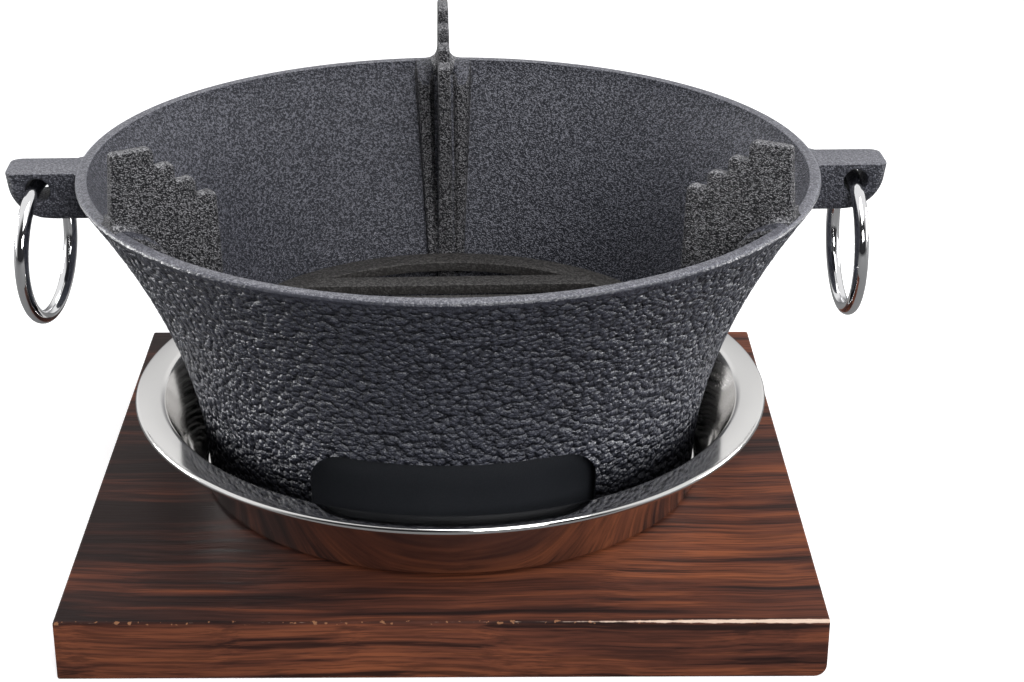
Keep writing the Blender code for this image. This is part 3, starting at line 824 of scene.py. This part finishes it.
# %% Fillets
def fillet_plan(radius, fall, root):
    """Section of both fillets and the fin between them, at one radius."""
    half = fin_half_thickness(RIM_LEVEL)
    arc = [(half + FILLET * (1 + cos(a)), FILLET * (1 + sin(a)))
           for a in between(pi, 1.5 * pi, 12)]
    side = arc + [(half + FILLET, -root)]
    both = side + [(-across, height) for across, height in reversed(side)]
    return [(radius, across, RIM_LEVEL + height - fall) for across, height in both]


def cap_fall(radius):
    """How far the rib's top has fallen below the lip at a radius."""
    inward = clipped((inner_radius(RIM_LEVEL) - radius) / RIB_TOP_DEPTH)
    return RIB_CAP * (1.0 - sqrt(1.0 - inward ** 2))


rows = []
for run in between(0.0, 1.0, 12):
    radius = RIM_RADIUS - 2 * LIP_ROUND - (WALL + RIB_TOP_DEPTH) * FILLET_REACH * run
    rows.append(fillet_plan(radius, cap_fall(radius) + RIB_ROOT * run,
                            LIP_ROUND + (FILLET - LIP_ROUND) * run))
fillet = lofted("fillet", rows)
# Fillet faces that look up get the lighter iron, a painted highlight of light from above.
give_finishes(fillet, lambda face: WORN_AND_LIT if face.normal.z > 0.5 else FINS)
print("fillet faces:", len(fillet.data.polygons))

# %% [markdown]
# ### One casting
#
# The bowl is poured in one go, so Booleans make one closed mesh of it: two ears and three sets of
# fin, rib and fillets are united with the wall, then ring holes and the air opening are cut.

# %% Unite the casting
rest = combined(combined(rib, fin, "UNION"), fillet, "UNION")
rest.name = "rest"
REST_ANGLES = (90.0, 210.0, 330.0)
rests = [turned_copy(rest, f"rest_{int(angle)}", radians(angle)) for angle in REST_ANGLES]
bpy.data.objects.remove(rest)
for tool in (right_ear, left_ear, *rests):
    combined(bowl, tool, "UNION")
print("united:", len(bowl.data.polygons), "faces")

# %% Cut the ring holes and the air opening
HOLE = 0.0046
HOLE_FLARE = 0.0010
OPENING_LEFT, OPENING_RIGHT = -0.0523, 0.0501
OPENING_SILL = FOOT_LEVEL + 0.0075
OPENING_TOP = FOOT_LEVEL + 0.0450
LOW_ROUND, HIGH_ROUND = 0.004, 0.0135


def hole_row(along, radius):
    """One circle of the cutter for a ring's hole."""
    return [(EAR_HOLE_PLACE + radius * cos(angle), along, EAR_HOLE_LEVEL + radius * sin(angle))
            for angle in between(0.0, tau, 49)[:-1]]


half = EAR_WIDTH / 2
stations = [(-half - 0.003, HOLE + HOLE_FLARE), (-half, HOLE + HOLE_FLARE)]
stations += [(-half + HOLE_FLARE * (1 - cos(a)), HOLE + HOLE_FLARE * (1 - sin(a)))
             for a in between(0.2, pi / 2, 6)]
stations += [(-along, radius) for along, radius in reversed(stations)]
cutter = lofted("ring_hole", [hole_row(along, radius) for along, radius in stations])
other = turned_copy(cutter, "ring_hole_left", pi)

window = rounded([
    (OPENING_LEFT, OPENING_SILL, LOW_ROUND), (OPENING_RIGHT, OPENING_SILL, LOW_ROUND),
    (OPENING_RIGHT, OPENING_TOP, HIGH_ROUND), (OPENING_LEFT, OPENING_TOP, HIGH_ROUND)], 12)
opening = lofted("air_opening", [[(x, y, level) for x, level in window] for y in (-0.070, -0.110)])
for tool in (cutter, other, opening):
    give_finishes(tool, lambda face: SMOOTH if tool is opening else INSIDE)
    combined(bowl, tool, "DIFFERENCE")
outward(bowl)
smoothed(bowl, 38.0)
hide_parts("fire_bowl")
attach(bowl, "bowl")
print("casting:", len(bowl.data.polygons), "faces")

# %% [markdown]
# ## Air door
#
# A smooth curved plate stands in a channel in the bowl's foot and closes the air opening. It is
# slid round by hand to let more or less air in. Its section is spun just far enough to lap over
# both sides of the opening.

# %% Air door
DOOR_LAP = 0.0024
DOOR_SPAN = 2 * asin((DOOR_LAP - OPENING_LEFT) / inner_radius(FOOT_LEVEL + FLANGE))
DOOR_THICKNESS = 0.0023
DOOR_GAP = 0.0003
levels = between(FOOT_LEVEL + FLANGE + DOOR_GAP, OPENING_TOP + DOOR_LAP, 16)
face_points = [(inner_radius(level) - DOOR_GAP, level) for level in levels]
back_points = [(radius - DOOR_THICKNESS, level) for radius, level in reversed(face_points)]
start_angle = -(pi - DOOR_SPAN) / 2      # spin turns clockwise, seen from above
door = outline_ring("air_door_plate", [
    (radius * cos(start_angle), radius * sin(start_angle), level)
    for radius, level in face_points + back_points], "NGON")
spin_all(72, DOOR_SPAN)
bpy.ops.mesh.select_all(action="SELECT")
bpy.ops.mesh.remove_doubles(threshold=1e-6)
bpy.ops.mesh.select_all(action="DESELECT")
bpy.ops.mesh.select_mode(type="EDGE")
bpy.ops.mesh.select_non_manifold(extend=False)
bpy.ops.mesh.edge_face_add()
mode("OBJECT")
outward(door)
bevelled(door, 0.0005, 2)
smoothed(door, 30.0)
door.data.materials.append(CASTING_FINISHES[SMOOTH])
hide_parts("air_door")
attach(door, "door")
print("door faces:", len(door.data.polygons))

# %% [markdown]
# ## Charcoal grate
#
# A round cast grate lies on the ledges at the feet of the fins. It is a plate with a slot between
# each pair of bars. A cylinder is cut by one slot after another, then a Bevel modifier rounds
# every edge a little, as on a casting.

# %% Charcoal grate
GRATE_THICKNESS = 0.004
GRATE_RING = 0.011
BARS = 7
BAR_SHARE = 0.48
SLOT_ROUND = 0.003
reach = GRATE_RADIUS - GRATE_RING
pitch = 2 * reach / (BARS + 1)


def slot_outline(low, high, side):
    """Plan of one slot between two bars, or between the last bar and the ring."""
    first = asin(low / reach)
    if high < reach:
        last = asin(high / reach)
        turns = (first, pi - first, pi - last, last)
        return rounded([(reach * cos(a), side * reach * sin(a), SLOT_ROUND) for a in turns])
    return [(reach * cos(a), side * reach * sin(a)) for a in between(first, pi - first, 40)]


nothing_selected()
bpy.ops.mesh.primitive_cylinder_add(vertices=160, radius=GRATE_RADIUS, depth=GRATE_THICKNESS)
grate = named("charcoal_grate_plate")
grate.data.transform(Matrix.Translation((0.0, 0.0, GRATE_LEVEL - GRATE_THICKNESS / 2)))
for index in range(BARS // 2 + 1):
    low = pitch * index + pitch * BAR_SHARE / 2
    high = pitch * (index + 1) - pitch * BAR_SHARE / 2 if index < BARS // 2 else 1.0
    for side in (-1, 1):
        outline = slot_outline(low, high, side)
        slot = lofted(f"slot_{index}_{side}", [
            [(x, y, level) for x, y in outline]
            for level in (GRATE_LEVEL - GRATE_THICKNESS * 2, GRATE_LEVEL + GRATE_THICKNESS)])
        combined(grate, slot, "DIFFERENCE")
bevelled(grate, 0.0008, 3, 50.0)
smoothed(grate, 35.0)
grate.data.materials.clear()
grate.data.materials.append(sand_cast_iron("grate_iron", 1100.0, 0.0004, (0.030, 0.028, 0.027),
                                           (0.075, 0.070, 0.066), 0.5))
for face in grate.data.polygons:
    face.material_index = 0
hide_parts("charcoal_grate")
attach(grate, "grate")
print("grate faces:", len(grate.data.polygons))

# %% [markdown]
# ## Ash tray
#
# The tray is pressed from one sheet of stainless steel: a flat floor, a leaning wall, a flat
# flange and a rolled edge. It is spun, like the bowl. Polished steel has almost no colour of its
# own and mirrors what is round it, so its material is a metal with very little roughness and the
# faint rings that polishing left.

# %% Ash tray
TRAY_LEVEL = 0.0233
SHEET = 0.0012
TRAY_TOP = TRAY_LEVEL + 0.0325
TRAY_FLOOR = 0.0976
TRAY_MOUTH = 0.1125
TRAY_RIM = 0.1234
BEAD = 0.0014
FLOOR_ROUND, MOUTH_ROUND = 0.0018, 0.0026


def open_rounded(corners, steps):
    """An open outline: its two ends stay as they are."""
    points = [corners[0][:2]]
    for before, corner, after in zip(corners, corners[1:], corners[2:]):
        if corner[2] == 0.0:
            points.append(corner[:2])
        else:
            points += round_corner(before[:2], corner[:2], after[:2], corner[2], steps)
    return points + [corners[-1][:2]]


lean = atan2(TRAY_MOUTH - TRAY_FLOOR, TRAY_TOP - TRAY_LEVEL - SHEET)
shift = SHEET * tan((pi / 2 - lean) / 2)
inside = open_rounded([(0.0, TRAY_LEVEL + SHEET, 0.0),
                       (TRAY_FLOOR, TRAY_LEVEL + SHEET, FLOOR_ROUND),
                       (TRAY_MOUTH, TRAY_TOP, MOUTH_ROUND), (TRAY_RIM - BEAD, TRAY_TOP, 0.0)], 8)
bead = [(TRAY_RIM - BEAD + BEAD * cos(a), TRAY_TOP - BEAD + BEAD * sin(a))
        for a in between(pi / 2, -0.75 * pi, 14)]
outside = open_rounded([(TRAY_RIM - 2 * BEAD, TRAY_TOP - SHEET, 0.0),
                        (TRAY_MOUTH + shift, TRAY_TOP - SHEET, MOUTH_ROUND - SHEET),
                        (TRAY_FLOOR + shift, TRAY_LEVEL, FLOOR_ROUND + SHEET),
                        (0.0, TRAY_LEVEL, 0.0)], 8)
tray = spun("ash_tray_pressing", inside[:-1] + bead + outside, 192)
smoothed(tray, 40.0)


def polished_steel():
    material, tree, shader = finish("polished_steel", (0.60, 0.59, 0.58), 0.07, 1.0)
    place = object_place(tree)
    parts = axes(tree, place)
    square = plus(tree, times(tree, parts["X"], parts["X"]), times(tree, parts["Y"], parts["Y"]))
    radius = math_node(tree, "SQRT", square)
    across = node(tree, "ShaderNodeCombineXYZ", {0: radius, 1: parts["Z"]}).outputs[0]
    rings = noise(tree, across, 2400.0, 3.0)["Fac"]
    smear = noise(tree, place, 30.0, 4.0)["Fac"]
    colour = mixed(tree, smear, (0.66, 0.65, 0.64), (0.74, 0.73, 0.72))
    rough = plus(tree, 0.065, times(tree, smear, 0.07))
    surface(tree, shader, colour, rough, bump(tree, rings, 0.12, 0.00002))
    return material


tray.data.materials.append(polished_steel())
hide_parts("ash_tray")
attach(tray, "tray")
print("tray faces:", len(tray.data.polygons))

# %% [markdown]
# ## Bail rings
#
# Each ring is a piece of 5 mm steel wire, bent round, welded and chromed, that hangs in its ear.
# It starts as a torus. The weld is a shallow swelling low on the front side: the wire's points
# there are fattened in three steps, each shorter than the last.

# %% Bail rings
def chrome():
    material, tree, shader = finish("ring_chrome", (0.72, 0.72, 0.73), 0.05, 1.0)
    smear = noise(tree, object_place(tree), 140.0, 4.0)["Fac"]
    colour = mixed(tree, smear, (0.70, 0.70, 0.71), (0.80, 0.80, 0.81))
    rough = plus(tree, 0.02, times(tree, smear, 0.08))
    surface(tree, shader, colour, rough, bump(tree, smear, 0.1, 0.0002))
    return material


ring_chrome = chrome()
RING_RADIUS = 0.0267
WIRE = 0.0025
WELD_PLACE = -40.0      # degrees round the torus
WELD_REACHES = (9.0, 6.0, 3.5)
WELD_STEP = 0.00006


def bail_ring(name, turn):
    """A torus stood upright and set where the CAD ring hangs."""
    low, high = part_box(name)
    middle = (Vector(low) + Vector(high)) / 2
    nothing_selected()
    bpy.ops.mesh.primitive_torus_add(major_segments=128, minor_segments=24,
                                     major_radius=RING_RADIUS, minor_radius=WIRE)
    ring = named(name + "_wire")
    for reach in WELD_REACHES:
        for vertex in ring.data.vertices:
            angle = degrees(atan2(vertex.co.y, vertex.co.x))
            vertex.select = abs(angle - WELD_PLACE) < reach
        mode("EDIT")
        bpy.ops.transform.shrink_fatten(value=WELD_STEP)
        mode("OBJECT")
    upright = Matrix.Rotation(turn, 4, "Z") @ Matrix.Rotation(pi / 2, 4, "Y")
    ring.data.transform(Matrix.Translation(middle) @ upright)
    smoothed(ring, 60.0)
    ring.data.materials.append(ring_chrome)
    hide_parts(name)
    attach(ring, name)
    print(name, "centre:", [round(value, 4) for value in middle])


bail_ring("left_ring", radians(-11.0))
bail_ring("right_ring", radians(0.5))

# %% [markdown]
# ## Wooden base
#
# The board is one slab of stained softwood, sawn with its grain from left to right. Its edges are
# lightly broken, and the front top edge is paler, more so towards the right. Stain sinks deeper
# into the soft bands of the wood, so it has soft dark and orange stripes along the grain, and much
# finer streaks on the sawn front.

# %% Board
BOARD_SIZE = Vector((0.2696, 0.2518, 0.023))
BOARD_MIDDLE = Vector((-0.0019, -0.0035, 0.0115))
BOARD_TURN = radians(-2.0)
WORN_ROUND, EDGE_ROUND = 0.0045, 0.0009      # the lower right edge, and all others
nothing_selected()
bpy.ops.mesh.primitive_cube_add(size=1.0)
board = named("base_board")
board.data.transform(Matrix.Diagonal((*BOARD_SIZE, 1.0)))
mode("EDIT")
bpy.ops.mesh.select_all(action="DESELECT")
bpy.ops.mesh.select_mode(type="EDGE")
mode("OBJECT")
for edge in board.data.edges:
    ends = [board.data.vertices[index].co for index in edge.vertices]
    edge.select = all(end.x > 0.0 and end.z < 0.0 for end in ends)
mode("EDIT")
bpy.ops.mesh.bevel(offset=WORN_ROUND, segments=6)
mode("OBJECT")
bevelled(board, EDGE_ROUND, 3, 40.0)
board.data.transform(Matrix.Translation(BOARD_MIDDLE) @ Matrix.Rotation(BOARD_TURN, 4, "Z"))
smoothed(board, 35.0)
print("board:", [round(value * 1000, 1) for value in BOARD_SIZE], "mm")


def stretched(tree, place, along, across, detail, roughness):
    """Noise drawn out along the board, as features per metre along and across the grain."""
    scaled = node(tree, "ShaderNodeMapping", {"Vector": place, "Scale": (along, across, across)})
    return noise(tree, scaled.outputs[0], 1.0, detail, roughness)["Fac"]


def board_marks(tree, place):
    """Masks of a paler band along the front top edge, of small chips along it, and of specks of
    dust on top.
    """
    parts = axes(tree, place)
    ahead = plus(tree, parts["Y"], BOARD_SIZE.y / 2)
    below = minus(tree, BOARD_SIZE.z / 2, parts["Z"])
    from_edge = math_node(tree, "MAXIMUM", ahead, below)
    # A paler band along the front top edge, wider towards the right.
    rightward = ramp(tree, parts["X"], 0.005, 0.125)
    ragged = noise(tree, place, 260.0, 3.0)["Fac"]
    reach = times(tree, plus(tree, ragged, rightward), 0.0009)
    pale_edge = ramp(tree, minus(tree, reach, from_edge), 0.0002, 0.0006)
    chips = noise(tree, place, 420.0, 2.0)["Fac"]
    reach = times(tree, ramp(tree, chips, 0.56, 0.70), 0.0013)
    chipped = ramp(tree, minus(tree, reach, from_edge), 0.0, 0.0005)
    specks = node(tree, "ShaderNodeTexVoronoi", {"Vector": place, "Scale": 30.0}).outputs
    lot = node(tree, "ShaderNodeSeparateColor", {0: specks["Color"]}).outputs[0]
    dust = times(tree, math_node(tree, "GREATER_THAN", lot, 0.86),
                 math_node(tree, "LESS_THAN", specks["Distance"], 0.016))
    return pale_edge, chipped, dust


def stained_wood():
    material, tree, shader = finish("stained_wood", (0.09, 0.04, 0.024), 0.42)
    place = node(tree, "ShaderNodeMapping", {"Vector": object_place(tree), "Location": BOARD_MIDDLE,
                                             "Rotation": (0.0, 0.0, BOARD_TURN)},
                 vector_type="TEXTURE").outputs[0]
    wavy = bent(tree, place, 11.0, 2.0, (0.0, 0.016, 0.008))
    clouds = stretched(tree, wavy, 5.5, 42.0, 3.0, 0.55)
    lines = stretched(tree, wavy, 6.0, 240.0, 4.0, 0.65)
    fibres = stretched(tree, wavy, 30.0, 1000.0, 3.0, 0.65)
    parts = axes(tree, place)
    on_top = ramp(tree, parts["Z"], BOARD_SIZE.z / 2 - 0.0012, BOARD_SIZE.z / 2 - 0.0004)
    # Painted shade: the top gets darker towards the left, away from the light on the right.
    painted_shade_leftward = times(tree, ramp(tree, parts["X"], 0.02, -0.10), on_top)
    sides = minus(tree, 1.0, on_top)
    cloudy = minus(tree, 0.58, times(tree, sides, 0.26))
    tone = plus(tree, times(tree, clouds, cloudy), times(tree, lines, 0.42))
    tone = minus(tree, tone, times(tree, painted_shade_leftward, 0.065))
    tone = plus(tree, tone, times(tree, sides, 0.175))
    colours = node(tree, "ShaderNodeValToRGB", {"Fac": tone})
    stops = colours.color_ramp.elements
    stops[0].position, stops[0].color = 0.38, (0.016, 0.008, 0.007, 1.0)
    stops[1].position, stops[1].color = 0.64, (0.275, 0.085, 0.037, 1.0)
    for position, tint in ((0.46, (0.050, 0.019, 0.014)), (0.53, (0.118, 0.038, 0.022))):
        stops.new(position).color = (*tint, 1.0)
    pale_edge, chipped, dust = board_marks(tree, place)
    colour = colours.outputs["Color"]
    for mask, tint in ((times(tree, ramp(tree, lines, 0.46, 0.36), 0.75), (0.014, 0.007, 0.006)),
                       (times(tree, ramp(tree, fibres, 0.42, 0.62), 0.50), (0.018, 0.009, 0.008)),
                       (chipped, (0.28, 0.13, 0.065)), (pale_edge, (0.78, 0.58, 0.46)),
                       (dust, (0.70, 0.66, 0.62))):
        colour = mixed(tree, mask, colour, tint)
    rough = plus(tree, 0.44, times(tree, fibres, 0.2))
    surface(tree, shader, colour, rough, bump(tree, plus(tree, fibres, lines), 0.5, 0.0003), 0.11)
    return material


board.data.materials.append(stained_wood())
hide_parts("wooden_base")
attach(board, "base")

# %% [markdown]
# ## Floor, light and background
#
# The grill stands on a pale floor in plain studio light: a large soft lamp overhead, a low one on
# either side to bring out the hammered skin, smaller ones in front and behind, and a bright
# surround. Chrome and polished steel show what is around them, so the surround is white at the
# sides, grey right behind, and nearly black on the photographer's side, as in a studio.

# %% Floor
nothing_selected()
bpy.ops.mesh.primitive_plane_add(size=8.0, location=(0.0, 0.0, 0.0))
floor = named("floor")
material, tree, shader = finish("pale_floor", (0.70, 0.70, 0.70), 0.6)
shader.inputs["Specular IOR Level"].default_value = 0.1
light_path = tree.nodes.new("ShaderNodeLightPath").outputs
WHITE = (1.0, 1.0, 1.0, 1.0)
glow, dim, dark = [
    node(tree, "ShaderNodeEmission", {"Color": WHITE, "Strength": strength}).outputs[0]
    for strength in (0.66, 0.08, 0.0)]
seen = plus(tree, light_path["Is Camera Ray"], times(tree, light_path["Is Glossy Ray"], 0.15))
both = node(tree, "ShaderNodeAddShader", {0: shader.outputs[0],
                                          1: mixed_shaders(tree, seen, dark, glow)}).outputs[0]
floor_look = mixed_shaders(tree, times(tree, light_path["Is Glossy Ray"], 0.75), both, dim)
tree.links.new(floor_look, tree.nodes["Material Output"].inputs["Surface"])
floor.data.materials.append(material)

# %% Lamps
def soft_lamp(name, place, width, height, watts, target=(0.0, 0.0, 0.1)):
    """A square of soft light, aimed at a point."""
    nothing_selected()
    bpy.ops.object.light_add(type="AREA", location=place)
    lamp = bpy.context.object
    lamp.name = name
    lamp.data.shape = "RECTANGLE"
    lamp.data.size, lamp.data.size_y = width, height
    lamp.data.energy = watts
    lamp.rotation_euler = (Vector(target) - Vector(place)).to_track_quat("-Z", "Y").to_euler()


soft_lamp("key_light", (0.35, -0.60, 1.35), 0.9, 0.9, 12.0)
soft_lamp("back_light", (-0.15, 0.75, 1.10), 0.8, 0.6, 3.0)
soft_lamp("right_light", (1.20, 0.20, 0.22), 0.5, 0.25, 9.0)
soft_lamp("left_light", (-1.20, 0.35, 0.22), 0.5, 0.25, 11.0)
soft_lamp("front_fill", (0.45, -1.35, 0.75), 0.6, 0.4, 10.0, (0.0, 0.0, 0.08))

# %% World
world = bpy.data.worlds.new("studio")
bpy.context.scene.world = world
world.use_nodes = True
tree = world.node_tree
tree.nodes.clear()
north = axes(tree, tree.nodes.new("ShaderNodeTexCoord").outputs["Generated"])["Y"]
surround = mixed(tree, ramp(tree, times(tree, north, -1.0), 0.20, 0.65), (1.0, 1.0, 1.0),
                 (0.03, 0.03, 0.032))
surround = mixed(tree, ramp(tree, north, 0.86, 0.99), surround, (0.30, 0.30, 0.31))
mirrored, ambient, white = [
    node(tree, "ShaderNodeBackground", {"Color": colour, "Strength": strength}).outputs[0]
    for colour, strength in ((surround, 1.0), ((0.86, 0.93, 1.0, 1.0), 0.18), (WHITE, 1.0))]
light_path = tree.nodes.new("ShaderNodeLightPath").outputs
glossy = mixed_shaders(tree, light_path["Is Glossy Ray"], ambient, mirrored)
final = mixed_shaders(tree, light_path["Is Camera Ray"], glossy, white)
output = tree.nodes.new("ShaderNodeOutputWorld")
tree.links.new(final, output.inputs["Surface"])
bpy.context.scene.view_settings.view_transform = "Standard"
print("lamps:", [item.name for item in bpy.data.lights])
